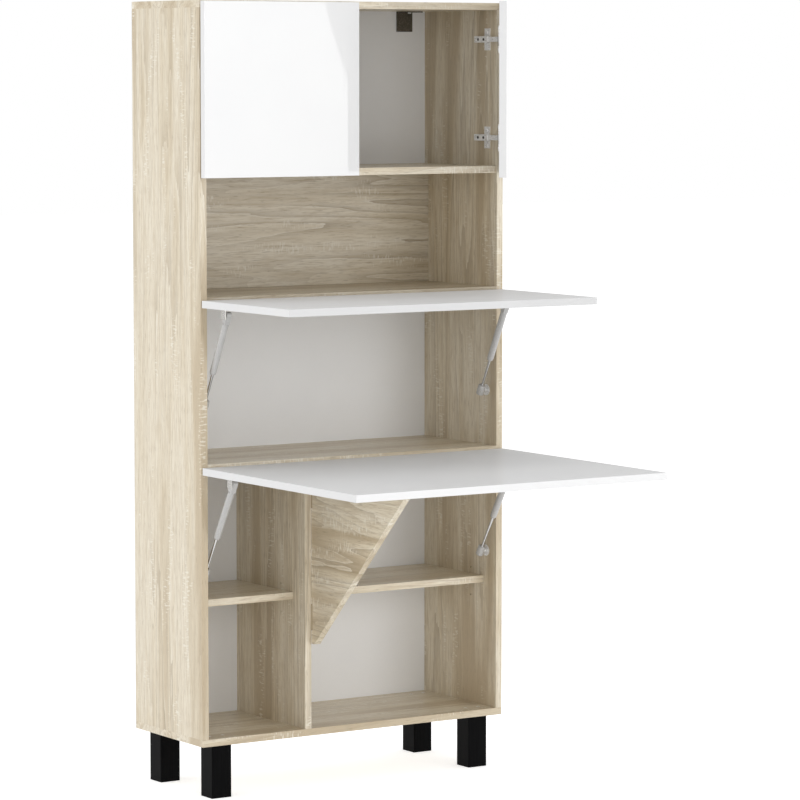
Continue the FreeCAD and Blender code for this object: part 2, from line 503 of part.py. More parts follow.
BUTT_X = "(%s + butt_side)" % DIVIDER_RIGHT
fixed_leaves = []
moving_leaves = []
for name, middle in (("upper_butt", "(%s - butt_inset)" % GUSSET_TOP),
                     ("lower_butt", "(%s - gusset_height + butt_inset)" % GUSSET_TOP)):
    low = "(%s - butt_height / 2)" % middle
    third = "butt_height / 3"
    slot = "butt_slot"
    fixed_low = "(%s + %s + %s)" % (low, third, slot)
    fixed_length = "%s - 2 * %s" % (third, slot)
    fixed_high = "%s + %s" % (fixed_low, fixed_length)
    wing = span_box(name + "_wing", (DIVIDER_RIGHT, FRONT, fixed_low),
                    (DIVIDER_RIGHT + " + butt_leaf", FRONT + " + butt_width", fixed_high))
    tube = rod(name + "_tube", (BUTT_X, FRONT, fixed_low), "butt_knuckle", fixed_length)
    hole = rod(name + "_hole", (BUTT_X, FRONT, fixed_low), "butt_pin + butt_play", fixed_length)
    fixed_leaves.append(cut(name + "_fixed", fused(name + "_fixed_blank", [wing, tube]), [hole]))
    flag = span_box(name + "_flag", (BUTT_X, GUSSET_REAR, low),
                    (GUSSET_LEFT + " + butt_width", GUSSET_REAR + " + butt_leaf", low + " + butt_height"))
    gap_low = (BUTT_X + " - butt_knuckle - butt_slot", GUSSET_REAR, "%s + %s" % (low, third))
    gap_high = (BUTT_X + " + butt_knuckle + butt_slot", GUSSET_REAR + " + butt_leaf",
                "%s + 2 * %s" % (low, third))
    notched = cut(name + "_notched", flag, [span_box(name + "_gap", gap_low, gap_high)])
    ends = []
    for index, start in enumerate((low, "%s + 2 * %s" % (low, third))):
        knuckle = rod("%s_knuckle_%d" % (name, index), (BUTT_X, FRONT, start), "butt_knuckle", third)
        web_low = (BUTT_X, GUSSET_REAR, start)
        web_high = (BUTT_X + " + butt_leaf", FRONT, "%s + %s" % (start, third))
        ends += [knuckle, span_box("%s_web_%d" % (name, index), web_low, web_high)]
    pin = rod(name + "_pin", (BUTT_X, FRONT, low), "butt_pin", "butt_height")
    moving_leaves.append(fused(name + "_moving", [notched, pin] + ends))
node(group("fixed_leaf_set", fixed_leaves), "gusset_hinge_fixed_leaves")
node(group("moving_leaf_set", moving_leaves), "gusset_hinge_moving_leaves")

doc.recompute()
for item in doc.Objects:
    if "Invalid" in item.State or "Error" in item.State:
        raise RuntimeError("%s is %s" % (item.Name, item.State))
for item in NODES:
    if item.Shape.isNull() or not item.Shape.isValid() or not item.Shape.Solids:
        raise RuntimeError("%s has no valid shape" % item.Label)

os.makedirs("parts", exist_ok=True)
for item in NODES:
    item.Shape.exportStep(os.path.join("parts", item.Label + ".step"))
    print(item.Label, len(item.Shape.Solids), "solids", round(item.Shape.Volume), "mm3", item.Shape.BoundBox)
print(len(NODES), "sub-parts")
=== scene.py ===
"""Looks of the tall secretary cabinet: finishes for its CAD parts, small fittings, floor, light, camera."""
import json
import math

import bpy
from mathutils import Matrix, Quaternion, Vector


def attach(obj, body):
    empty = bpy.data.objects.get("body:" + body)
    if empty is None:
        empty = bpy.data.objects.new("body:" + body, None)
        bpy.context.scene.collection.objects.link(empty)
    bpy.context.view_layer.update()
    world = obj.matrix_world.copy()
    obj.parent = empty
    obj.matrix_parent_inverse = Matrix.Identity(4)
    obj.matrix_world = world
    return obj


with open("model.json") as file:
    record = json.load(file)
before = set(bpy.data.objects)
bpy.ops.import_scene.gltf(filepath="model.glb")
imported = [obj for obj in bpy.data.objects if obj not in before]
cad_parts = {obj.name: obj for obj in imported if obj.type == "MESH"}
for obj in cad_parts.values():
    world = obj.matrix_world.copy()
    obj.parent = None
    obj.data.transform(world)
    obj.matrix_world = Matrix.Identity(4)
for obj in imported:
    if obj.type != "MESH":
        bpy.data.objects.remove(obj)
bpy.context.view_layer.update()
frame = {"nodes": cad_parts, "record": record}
nodes = frame["nodes"]
node_slots = {entry["node"]: entry["material_slot"] for entry in frame["record"]["subparts"]}
ALONG_X, ALONG_Y, ALONG_Z = 0, 1, 2
BOTH_SIDES = (-1, 1)
RIGHT_DOOR_OPEN = 55.5  # degrees, as it stands at rest


# Steps that finishes are made of
def new_finish(name):
    """A material with nodes, its node tree and its shader."""
    finish = bpy.data.materials.new(name)
    finish.use_nodes = True
    return finish, finish.node_tree, finish.node_tree.nodes["Principled BSDF"]


def stretched(tree, scale, offset=0.0):
    """The piece's own coordinates in metres, scaled for each axis and moved on by an offset."""
    coordinates = tree.nodes.new("ShaderNodeTexCoord")
    mapping = tree.nodes.new("ShaderNodeMapping")
    mapping.inputs["Scale"].default_value = scale
    mapping.inputs["Location"].default_value = (offset, offset, offset)
    tree.links.new(coordinates.outputs["Object"], mapping.inputs["Vector"])
    return mapping.outputs["Vector"]


def noise(tree, scale, detail=2.0, roughness=0.5, distortion=0.0, offset=0.0):
    """Cloudy value with a number of features per metre for each axis."""
    texture = tree.nodes.new("ShaderNodeTexNoise")
    texture.inputs["Scale"].default_value = 1.0
    texture.inputs["Detail"].default_value = detail
    texture.inputs["Roughness"].default_value = roughness
    texture.inputs["Distortion"].default_value = distortion
    tree.links.new(stretched(tree, scale, offset), texture.inputs["Vector"])
    return texture.outputs["Fac"]


def even(scale):
    """The same number of features per metre for each axis."""
    return (scale, scale, scale)


def along_grain(axis, across, along):
    """Features per metre for each axis, from those across the grain and along it."""
    return [along if index == axis else across for index in range(3)]


def ramp(tree, value, stops):
    """Colour ramp through (position, colour) stops."""
    ramp_node = tree.nodes.new("ShaderNodeValToRGB")
    band = ramp_node.color_ramp
    while len(band.elements) < len(stops):
        band.elements.new(0.5)
    for element, (position, colour) in zip(band.elements, stops):
        element.position = position
        element.color = (*colour, 1.0)
    tree.links.new(value, ramp_node.inputs["Fac"])
    return ramp_node.outputs["Color"]


def levels(tree, value, low, high, out_low=0.0, out_high=1.0):
    """Stretches a value's range from low..high to out_low..out_high, and holds it there."""
    node = tree.nodes.new("ShaderNodeMapRange")
    node.clamp = True
    sockets = ("From Min", "From Max", "To Min", "To Max")
    for socket, number in zip(sockets, (low, high, out_low, out_high)):
        node.inputs[socket].default_value = number
    tree.links.new(value, node.inputs["Value"])
    return node.outputs["Result"]


def arithmetic(tree, operation, *terms):
    """One step of arithmetic on terms that are numbers or values of other nodes."""
    node = tree.nodes.new("ShaderNodeMath")
    node.operation = operation
    for socket, term in zip(node.inputs, terms):
        if isinstance(term, (int, float)):
            socket.default_value = term
        else:
            tree.links.new(term, socket)
    return node.outputs["Value"]


def tinted(tree, mode, factor, under, over):
    """Lays one colour over another by a factor."""
    node = tree.nodes.new("ShaderNodeMix")
    node.data_type = "RGBA"
    node.blend_type = mode
    if isinstance(factor, (int, float)):
        node.inputs["Factor"].default_value = factor
    else:
        tree.links.new(factor, node.inputs["Factor"])
    for socket, colour in (("A", under), ("B", over)):
        target = [item for item in node.inputs if item.name == socket and item.type == "RGBA"][0]
        if isinstance(colour, tuple):
            target.default_value = (*colour, 1.0)
        else:
            tree.links.new(colour, target)
    return [item for item in node.outputs if item.type == "RGBA"][0]


def surface(tree, shader, colour, roughness, **numbers):
    """Gives a shader its colour and roughness, and its other inputs their numbers."""
    tree.links.new(colour, shader.inputs["Base Color"])
    tree.links.new(roughness, shader.inputs["Roughness"])
    for name, number in numbers.items():
        shader.inputs[SHADER_INPUTS[name]].default_value = number


def relief(tree, shader, value, depth, strength):
    """Surface relief from a value, of a depth in metres and a strength."""
    bump = tree.nodes.new("ShaderNodeBump")
    bump.inputs["Strength"].default_value = strength
    bump.inputs["Distance"].default_value = depth
    tree.links.new(value, bump.inputs["Height"])
    tree.links.new(bump.outputs["Normal"], shader.inputs["Normal"])


def between(plain, bold, figure):
    """Numbers part of the way from those of a plain grain to those of a bold one."""
    return [start + (end - start) * figure for start, end in zip(plain, bold)]


SHADER_INPUTS = {"gloss": "Specular IOR Level", "coat": "Coat Weight", "coat_roughness": "Coat Roughness",
                 "metallic": "Metallic"}
NOISE_LOW, NOISE_HIGH = 0.3, 0.7  # the range that most of a noise lies in

# Oak: colours, then features per metre across and along the grain
OAK_PALE = (0.800, 0.730, 0.612)
OAK_MIDDLE = (0.735, 0.650, 0.512)
OAK_DEEP = (0.560, 0.460, 0.325)
OAK_LINE = (0.310, 0.235, 0.150)
OAK_TICK = (0.890, 0.855, 0.780)
OAK_STREAKS = [(0.38, OAK_DEEP), (0.475, OAK_MIDDLE), (0.55, OAK_PALE), (0.70, OAK_MIDDLE)]
STREAK = (13, 0.8)
FIBRE = (260, 14)
PORE = (800, 40)
TICK = (60, 250)
TICK_PLACE = (26, 5)
RING_PLACE = (7, 1.8)
WIGGLE = (70, 8)
PLAIN_GROWTH, BOLD_GROWTH = (12, 0.25), (8.5, 0.70)
PLAIN_RING_SHARE, BOLD_RING_SHARE = (0.10, 0.40), (0.20, 0.60)
BOLD_DISTORTION = 0.15
RING_COUNT = 17
WIGGLE_SHARE = 0.03
LATE_WOOD_FADE = 1.6
EARLY_WOOD_SHARE = 0.8
FIBRE_SHARE, PORE_SHARE, TICK_SHARE = 0.75, 0.5, 0.55
# Blue share of the oak's overall multiplier: a slight warmth on all oak, and a warmer painted shade where
# the multiplier darkens it
BLUE_OF_WARMTH_AND_SHADE = 0.97
PORE_DEPTH = 1.5  # against the fibre's
OAK_ROUGHNESS = (0.27, 0.38)
OAK_RELIEF = (0.00010, 0.35)
# Where each layer begins to show and where it shows fully, in its noise or in the growth of one ring
RINGS_SHOW = (0.44, 0.60)
LATE_WOOD = (0.35, 0.98)
EARLY_WOOD = (0.14, 0.02)
FIBRE_SHOWS = (0.44, 0.70)
PORES_SHOW = (0.60, 0.72)
TICKS_SHOW = (0.54, 0.64)
TICKS_GATHER = (0.56, 0.64)


def oak(name, axis, figure, offset, painted_shade=1.0):
    """Pale rough-sawn oak decor, grain along one axis: streaks, growth rings, fibre, pores and saw ticks.

    The figure goes from 0, plain straight grain, to 1, bold grain. The offset takes another part of the log.
    A shade factor below 1 darkens the whole decor as painted shade, for a piece that lies in shade.
    """
    finish, tree, shader = new_finish(name)
    streak = noise(tree, along_grain(axis, *STREAK), detail=4, roughness=0.55, distortion=0.6, offset=offset)
    fibre = noise(tree, along_grain(axis, *FIBRE), detail=3, roughness=0.65)
    pore = noise(tree, along_grain(axis, *PORE), detail=1)
    tick = noise(tree, along_grain(axis, *TICK), detail=1, roughness=0.4)
    tick_place = noise(tree, along_grain(axis, *TICK_PLACE), offset=offset)
    ring_place = noise(tree, along_grain(axis, *RING_PLACE), detail=1, offset=offset)

    growth = noise(tree, along_grain(axis, *between(PLAIN_GROWTH, BOLD_GROWTH, figure)), roughness=0.45,
                   distortion=BOLD_DISTORTION * figure, offset=offset)
    wiggle = noise(tree, along_grain(axis, *WIGGLE))
    age = arithmetic(tree, "ADD", growth, arithmetic(tree, "MULTIPLY", wiggle, WIGGLE_SHARE))
    ring = arithmetic(tree, "FRACT", arithmetic(tree, "MULTIPLY", age, RING_COUNT))

    colour = ramp(tree, streak, OAK_STREAKS)
    ring_share = levels(tree, ring_place, *RINGS_SHOW, *between(PLAIN_RING_SHARE, BOLD_RING_SHARE, figure))
    late_wood = arithmetic(tree, "POWER", levels(tree, ring, *LATE_WOOD), LATE_WOOD_FADE)
    colour = tinted(tree, "MIX", arithmetic(tree, "MULTIPLY", late_wood, ring_share), colour, OAK_LINE)
    early_wood = arithmetic(tree, "MULTIPLY", levels(tree, ring, *EARLY_WOOD), ring_share)
    early_mask = arithmetic(tree, "MULTIPLY", early_wood, EARLY_WOOD_SHARE)
    colour = tinted(tree, "MIX", early_mask, colour, OAK_TICK)
    fibre_mask = levels(tree, fibre, *FIBRE_SHOWS, out_high=FIBRE_SHARE)
    colour = tinted(tree, "MIX", fibre_mask, colour, OAK_DEEP)
    pore_mask = levels(tree, pore, *PORES_SHOW, out_high=PORE_SHARE)
    colour = tinted(tree, "MIX", pore_mask, colour, OAK_LINE)
    ticks = levels(tree, tick, *TICKS_SHOW, out_high=TICK_SHARE)
    tick_mask = arithmetic(tree, "MULTIPLY", ticks, levels(tree, tick_place, *TICKS_GATHER))
    colour = tinted(tree, "MIX", tick_mask, colour, OAK_TICK)
    # Painted shade: the whole decor multiplied by a factor below 1 where the piece stands in a shaded
    # recess; the blue share warms all oak a little at any factor
    colour = tinted(tree, "MULTIPLY", 1.0, colour, (painted_shade, painted_shade, painted_shade * BLUE_OF_WARMTH_AND_SHADE))

    surface(tree, shader, colour, levels(tree, fibre, NOISE_LOW, NOISE_HIGH, *OAK_ROUGHNESS))
    height = arithmetic(tree, "SUBTRACT", fibre, arithmetic(tree, "MULTIPLY", pore_mask, PORE_DEPTH))
    relief(tree, shader, height, *OAK_RELIEF)
    return finish


# Films of the white leaves: gloss, coat, least and most roughness, depth of the ripple
DOOR_FILM = (0.5, 0.0, 0.015, 0.03, 0.000005)
FLAP_FILM = (0.0, 0.12, 0.24, 0.28, 0.000002)
FILM_WHITES = [(NOISE_LOW, (0.79, 0.792, 0.795)), (NOISE_HIGH, (0.81, 0.811, 0.811))]
FILM_CLOUD, FILM_RIPPLE = 5, 30
RIPPLE_STRENGTH = 0.5
COAT_ROUGHNESS = 0.05
# Reach and softness of the band of painted light on a leaf's free edge
PAINTED_EDGE_DEPTH = 0.0005
PAINTED_EDGE_FADE = 0.0001


def gloss_white(leaf, free_edge, band, gloss, coat, rough_low, rough_high, ripple_depth):
    """White film with a faint ripple on a leaf, and a band on the leaf's free edge whose white is multiplied
    by a factor: painted shade below 1, a painted highlight above 1.
    """
    finish, tree, shader = new_finish("gloss_white_" + leaf)
    cloud = noise(tree, even(FILM_CLOUD))
    reach = tree.nodes.new("ShaderNodeVectorMath")
    reach.operation = "DOT_PRODUCT"
    reach.inputs[1].default_value = free_edge
    tree.links.new(stretched(tree, even(1)), reach.inputs[0])
    painted_edge_start = max(vertex.co.dot(Vector(free_edge)) for vertex in nodes[leaf].data.vertices) - PAINTED_EDGE_DEPTH
    on_painted_edge = levels(tree, reach.outputs["Value"], painted_edge_start - PAINTED_EDGE_FADE, painted_edge_start + PAINTED_EDGE_FADE)
    # Painted light on the free edge: the band's white multiplied by the factor, darker as painted shade,
    # lighter as a painted highlight
    colour = tinted(tree, "MULTIPLY", on_painted_edge, ramp(tree, cloud, FILM_WHITES), (band, band, band))
    surface(tree, shader, colour, levels(tree, cloud, NOISE_LOW, NOISE_HIGH, rough_low, rough_high),
            gloss=gloss, coat=coat, coat_roughness=COAT_ROUGHNESS)
    relief(tree, shader, noise(tree, even(FILM_RIPPLE), detail=1), ripple_depth, RIPPLE_STRENGTH)
    return finish


PAPER_WHITES = [(NOISE_LOW, (0.866, 0.870, 0.874)), (NOISE_HIGH, (0.886, 0.890, 0.894))]
PAPER_SPECK = (0.60, 0.59, 0.57)
PAPER_CLOUD, PAPER_SPECKS = 9, 900
SPECKS_SHOW = (0.6, 0.75)
SPECK_SHARE = 0.25
PAPER_ROUGHNESS = (0.48, 0.62)
PAPER_RELIEF = (0.00005, 0.5)


def back_board():
    """Thin fibre board with a pale grey-white paper face."""
    finish, tree, shader = new_finish("back_board_paper")
    cloud = noise(tree, even(PAPER_CLOUD), detail=3)
    speck = noise(tree, even(PAPER_SPECKS), roughness=0.6)
    speck_mask = levels(tree, speck, *SPECKS_SHOW, out_high=SPECK_SHARE)
    colour = tinted(tree, "MIX", speck_mask, ramp(tree, cloud, PAPER_WHITES), PAPER_SPECK)
    surface(tree, shader, colour, levels(tree, speck, NOISE_LOW, NOISE_HIGH, *PAPER_ROUGHNESS))
    relief(tree, shader, speck, *PAPER_RELIEF)
    return finish


LEG_BLACKS = [(0.35, (0.0012, 0.0012, 0.0014)), (0.65, (0.0040, 0.0040, 0.0044))]
LEG_GRAIN = (420, 12)
LEG_GLOSS = 0.04
LEG_ROUGHNESS = (0.42, 0.56)
LEG_RELIEF = (0.00008, 0.5)


def leg_black():
    """Black satin lacquer on square wooden legs, with a fine grain showing through."""
    finish, tree, shader = new_finish("leg_black_satin")
    grain = noise(tree, along_grain(ALONG_Z, *LEG_GRAIN), detail=3, roughness=0.6)
    roughness = levels(tree, grain, NOISE_LOW, NOISE_HIGH, *LEG_ROUGHNESS)
    surface(tree, shader, ramp(tree, grain, LEG_BLACKS), roughness, gloss=LEG_GLOSS)
    relief(tree, shader, grain, *LEG_RELIEF)
    return finish


METAL_RELIEF = (0.00002, 0.4)


def metal(name, dark, light, brushing, rough_low, rough_high, metallic=1.0):
    """Plated steel with fine brushing and slightly uneven shine."""
    finish, tree, shader = new_finish(name)
    brush = noise(tree, brushing, detail=3, roughness=0.6)
    colour = ramp(tree, brush, [(NOISE_LOW, dark), (NOISE_HIGH, light)])
    roughness = levels(tree, brush, NOISE_LOW, NOISE_HIGH, rough_low, rough_high)
    surface(tree, shader, colour, roughness, metallic=metallic)
    relief(tree, shader, brush, *METAL_RELIEF)
    return finish


ENAMEL_GREYS = [(0.35, (0.45, 0.445, 0.435)), (0.65, (0.53, 0.525, 0.515))]
ENAMEL_PEEL = 700
ENAMEL_COAT = 0.3
ENAMEL_ROUGHNESS = (0.24, 0.36)
ENAMEL_RELIEF = (0.00003, 0.4)


def strut_grey():
    """Light grey enamel of the strut tubes and their ends."""
    finish, tree, shader = new_finish("strut_grey_enamel")
    peel = noise(tree, even(ENAMEL_PEEL))
    roughness = levels(tree, peel, NOISE_LOW, NOISE_HIGH, *ENAMEL_ROUGHNESS)
    surface(tree, shader, ramp(tree, peel, ENAMEL_GREYS), roughness, coat=ENAMEL_COAT)
    relief(tree, shader, peel, *ENAMEL_RELIEF)
    return finish


# The finishes, and which part has which
PLAIN, BOLD, GUSSET_FIGURE = 0.25, 1.0, 0.9
OAK_UPRIGHT = oak("oak_upright_decor", ALONG_Z, PLAIN, 0.4)
OAK_LEVEL = oak("oak_level_decor", ALONG_X, PLAIN, 2.1)
# The niche back's bold oak figure, darkened to 0.79 as painted shade for the recess that lies in shade
OAK_NICHE_SHADED = oak("oak_niche_figure_painted_shade", ALONG_X, BOLD, 1.3, painted_shade=0.79)
# The niche floor: a copy of the level oak decor, darkened to 0.76 as painted shade
OAK_NICHE_FLOOR_SHADED = oak("oak_niche_floor_painted_shade", ALONG_X, PLAIN, 2.1, painted_shade=0.76)
OAK_GUSSET = oak("oak_gusset_figure", ALONG_Y, GUSSET_FIGURE, 3.4)

# Painted light on the leaves' free edges: painted shade on the doors and upper flap, and a painted highlight
# for the soft box's reflection on the desk flap
PAINTED_EDGE_SHADE, PAINTED_EDGE_HIGHLIGHT = 0.88, 1.06
TO_RIGHT, TO_FRONT = (1, 0, 0), (0, -1, 0)
TO_DOOR_EDGE = (-math.cos(math.radians(RIGHT_DOOR_OPEN)), -math.sin(math.radians(RIGHT_DOOR_OPEN)), 0)
LEFT_DOOR_WHITE = gloss_white("left_door", TO_RIGHT, PAINTED_EDGE_SHADE, *DOOR_FILM)
RIGHT_DOOR_WHITE = gloss_white("right_door", TO_DOOR_EDGE, PAINTED_EDGE_SHADE, *DOOR_FILM)
UPPER_FLAP_WHITE = gloss_white("upper_flap", TO_FRONT, PAINTED_EDGE_SHADE, *FLAP_FILM)
DESK_FLAP_WHITE = gloss_white("desk_flap", TO_FRONT, PAINTED_EDGE_HIGHLIGHT, *FLAP_FILM)

BACK_BOARD = back_board()
LEG_BLACK = leg_black()
STRUT_GREY = strut_grey()
HINGE_STEEL = metal("hinge_nickel", (0.86, 0.855, 0.84), (0.94, 0.935, 0.925),
                    (700, 90, 700), 0.24, 0.36, metallic=0.3)
SCREW_DARK = metal("screw_dark_zinc", (0.05, 0.048, 0.045), (0.12, 0.115, 0.11),
                   even(600), 0.3, 0.45, metallic=0.6)
BRACKET_GREY = metal("strut_bracket_zinc", (0.40, 0.39, 0.37), (0.50, 0.49, 0.465),
                     (500, 120, 500), 0.2, 0.32, metallic=0.5)
WALL_BROWN = metal("wall_bracket_brown", (0.085, 0.075, 0.06), (0.14, 0.125, 0.10),
                   (500, 120, 500), 0.18, 0.3, metallic=0.4)
BUTT_BRASS = metal("butt_hinge_brass", (0.38, 0.30, 0.19), (0.48, 0.385, 0.26),
                   (600, 600, 120), 0.4, 0.55, metallic=0.5)
ROD_STEEL = metal("rod_chrome", (0.50, 0.50, 0.50), (0.62, 0.62, 0.62), (900, 300, 300), 0.12, 0.2)
SLOT_FINISHES = {
    "oak_upright": OAK_UPRIGHT,
    "oak_level": OAK_LEVEL,
    "gloss_white": LEFT_DOOR_WHITE,
    "back_board": BACK_BOARD,
    "leg_black": LEG_BLACK,
    "hinge_steel": HINGE_STEEL,
    "bracket_grey": BRACKET_GREY,
    "strut_grey": STRUT_GREY,
    "rod_steel": ROD_STEEL,
}
OWN_FINISHES = {
    "niche_back": OAK_NICHE_SHADED,
    "niche_floor": OAK_NICHE_FLOOR_SHADED,
    "gusset": OAK_GUSSET,
    "right_door": RIGHT_DOOR_WHITE,
    "upper_flap": UPPER_FLAP_WHITE,
    "desk_flap": DESK_FLAP_WHITE,
    "gusset_hinge_fixed_leaves": BUTT_BRASS,
    "gusset_hinge_moving_leaves": BUTT_BRASS,
    "wall_bracket_left": WALL_BROWN,
    "wall_bracket_right": WALL_BROWN,
}


def paint(piece, finish):
    """Gives a piece one finish."""
    piece.data.materials.clear()
    piece.data.materials.append(finish)


for name, node in nodes.items():
    paint(node, OWN_FINISHES.get(name, SLOT_FINISHES[node_slots[name]]))

# Softened edges on the boards, doors, flaps and wall brackets
WELD_REACH = 0.00001
CORNER_ANGLE = math.radians(40)
BOARD_EDGE, LEAF_EDGE = 0.0005, 0.0007
BOARDS = ("left_side", "right_side", "top_panel", "bottom_panel", "niche_back", "door_shelf", "niche_floor",
          "desk_shelf", "divider", "left_shelf", "right_shelf", "gusset")
LEAVES = ("left_door", "right_door", "upper_flap", "desk_flap")
WALL_BRACKETS = ("wall_bracket_left", "wall_bracket_right")


def soften(node, width):
    """Rounds the corners of a CAD part by a width in metres."""
    weld = node.modifiers.new("joined_faces", "WELD")
    weld.merge_threshold = WELD_REACH
    edge = node.modifiers.new("soft_edges", "BEVEL")
    edge.width = width
    edge.segments = 2
    edge.limit_method = "ANGLE"
    edge.angle_limit = CORNER_ANGLE
    edge.use_clamp_overlap = True


for name in BOARDS:
    soften(nodes[name], BOARD_EDGE)
for name in (*LEAVES, *WALL_BRACKETS):
    soften(nodes[name], LEAF_EDGE)

# Small fittings, each modelled once at the origin with its seat down and its axis up, then copied into place
SMOOTH_ANGLE = math.radians(35)
LOOKS_UP, LOOKS_ASIDE, LIES_LEVEL = 0.9, 0.1, 0.99  # limits for the upward share of a face's direction


def clear_selection():
    bpy.ops.object.select_all(action="DESELECT")


def is_top(centre, normal):
    return normal.z > LOOKS_UP


def is_underside(centre, normal):
    return normal.z < -LOOKS_UP


def is_end(centre, normal):
    return abs(normal.z) > LOOKS_UP


def is_side(centre, normal):
    return abs(normal.z) < LOOKS_ASIDE


def pick(piece, test):
    """Opens a piece in edit mode with the faces selected whose centre and normal pass a test."""
    bpy.ops.object.mode_set(mode="EDIT")
    bpy.ops.mesh.select_mode(type="FACE")
    bpy.ops.mesh.select_all(action="DESELECT")
    bpy.ops.object.mode_set(mode="OBJECT")
    for face in piece.data.polygons:
        face.select = test(face.center, face.normal)
    bpy.ops.object.mode_set(mode="EDIT")


def turned_blank(name, radius, height, corners):
    """Round blank standing on the origin."""
    clear_selection()
    middle = (0, 0, height / 2)
    bpy.ops.mesh.primitive_cylinder_add(vertices=corners, radius=radius, depth=height, location=middle)
    blank = bpy.context.object
    blank.name = name
    bpy.ops.object.transform_apply(location=True, rotation=True, scale=True)
    return blank


def finished(piece):
    """Turns a piece's faces outwards, leaves edit mode and smooths the round faces."""
    bpy.ops.object.mode_set(mode="EDIT")
    bpy.ops.mesh.select_all(action="SELECT")
    bpy.ops.mesh.normals_make_consistent(inside=False)
    bpy.ops.object.mode_set(mode="OBJECT")
    bpy.ops.object.shade_smooth_by_angle(angle=SMOOTH_ANGLE)
    return piece


def cross_cut(piece, width, reach, level):
    """Cuts a cross into a piece, half its width deep below a level."""
    clear_selection()
    bpy.ops.mesh.primitive_cube_add(size=width, location=(0, 0, level))
    cutter = bpy.context.object
    pick(cutter, is_side)
    bpy.ops.mesh.extrude_faces_move(TRANSFORM_OT_shrink_fatten={"value": reach - width / 2})
    bpy.ops.object.mode_set(mode="OBJECT")
    clear_selection()
    piece.select_set(True)
    bpy.context.view_layer.objects.active = piece
    recess = piece.modifiers.new("cross_recess", "BOOLEAN")
    recess.operation = "DIFFERENCE"
    recess.object = cutter
    bpy.ops.object.modifier_apply(modifier=recess.name)
    bpy.data.objects.remove(cutter)


SCREW_ROUNDING = 0.5  # of its height
RECESS_WIDTH, RECESS_REACH = 0.34, 0.6  # of the screw's radius


def cross_screw(name, radius, height):
    """Pan-head screw with a cross recess."""
    screw = turned_blank(name, radius, height, corners=24)
    pick(screw, is_top)
    bpy.ops.mesh.bevel(offset=height * SCREW_ROUNDING, segments=3, affect="EDGES")
    bpy.ops.object.mode_set(mode="OBJECT")
    cross_cut(screw, width=radius * RECESS_WIDTH, reach=radius * RECESS_REACH, level=height)
    return finished(screw)


RIVET_ROUNDING, DIMPLE_DEPTH, NEAR_TOP = 0.6, 0.2, 0.9  # of its height
RIVET_RIM = 0.3  # of its radius


def domed_rivet(name, radius, height):
    """Rivet head with a rounded rim and a shallow dimple."""
    rivet = turned_blank(name, radius, height, corners=28)
    pick(rivet, is_top)
    bpy.ops.mesh.bevel(offset=height * RIVET_ROUNDING, segments=4, affect="EDGES")
    pick(rivet, lambda centre, normal: normal.z > LIES_LEVEL and centre.z > height * NEAR_TOP)
    bpy.ops.mesh.inset(thickness=radius * RIVET_RIM)
    bpy.ops.transform.translate(value=(0, 0, -height * DIMPLE_DEPTH))
    return finished(rivet)


NOSE_ROUNDING = 0.25  # of the collar's length


def seal_collar(name, outer, inner, length):
    """Ring round the rod where it leaves the tube, with a rounded nose at its lower end."""
    collar = turned_blank(name, outer, length, corners=32)
    pick(collar, is_end)
    bpy.ops.mesh.inset(thickness=outer - inner)
    bpy.ops.mesh.bridge_edge_loops()
    pick(collar, is_underside)
    bpy.ops.mesh.bevel(offset=length * NOSE_ROUNDING, segments=3, affect="EDGES")
    return finished(collar)


NOTCH_REACH = 1.2  # of the flange's radius


def notched_flange(name, outer, inner, thickness, notch):
    """Flat ring with four notches in its face."""
    flange = seal_collar(name, outer, inner, thickness)
    cross_cut(flange, width=notch, reach=outer * NOTCH_REACH, level=thickness)
    return finished(flange)


CUP_ROUNDING = 0.15  # of its radius


def socket_cup(name, radius, low, high, flat):
    """Cup round a strut's ball socket, along the strut, with a flat towards the side panel."""
    cup = turned_blank(name, radius, high - low, corners=32)
    pick(cup, is_end)
    bpy.ops.mesh.bevel(offset=radius * CUP_ROUNDING, segments=3, affect="EDGES")
    bpy.ops.mesh.select_all(action="SELECT")
    bpy.ops.transform.translate(value=(0, 0, low))
    bpy.ops.mesh.bisect(plane_co=(flat, 0, 0), plane_no=(1, 0, 0), use_fill=True, clear_outer=True)
    return finished(cup)


BAR_ROUNDING = 0.0004


def edge_bar(name, low, high):
    """Slim wooden bar between two corners, with rounded edges."""
    clear_selection()
    bpy.ops.mesh.primitive_cube_add(size=1)
    bar = bpy.context.object
    bar.name = name
    bpy.ops.object.mode_set(mode="EDIT")
    bpy.ops.mesh.select_all(action="SELECT")
    bpy.ops.transform.resize(value=[top - bottom for bottom, top in zip(low, high)])
    bpy.ops.transform.translate(value=[(top + bottom) / 2 for bottom, top in zip(low, high)])
    bpy.ops.mesh.bevel(offset=BAR_ROUNDING, segments=2, affect="EDGES")
    return finished(bar)


def set_out(pattern, name, places, body, slot, finish=None):
    """Copies a fitting to each place, joins the copies to one piece and lets it ride on a body."""
    clear_selection()
    for place in places:
        copy = pattern.copy()
        copy.data = pattern.data.copy()
        copy.data.transform(place)
        bpy.context.scene.collection.objects.link(copy)
        copy.select_set(True)
        bpy.context.view_layer.objects.active = copy
    if len(places) > 1:
        bpy.ops.object.join()
    piece = bpy.context.view_layer.objects.active
    piece.name = name
    paint(piece, finish or SLOT_FINISHES[slot])
    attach(piece, body)


def seat(point, direction):
    """Place of a fitting whose seat is at a point and whose axis points in a direction."""
    return Matrix.Translation(point) @ Vector(direction).to_track_quat("Z", "Y").to_matrix().to_4x4()


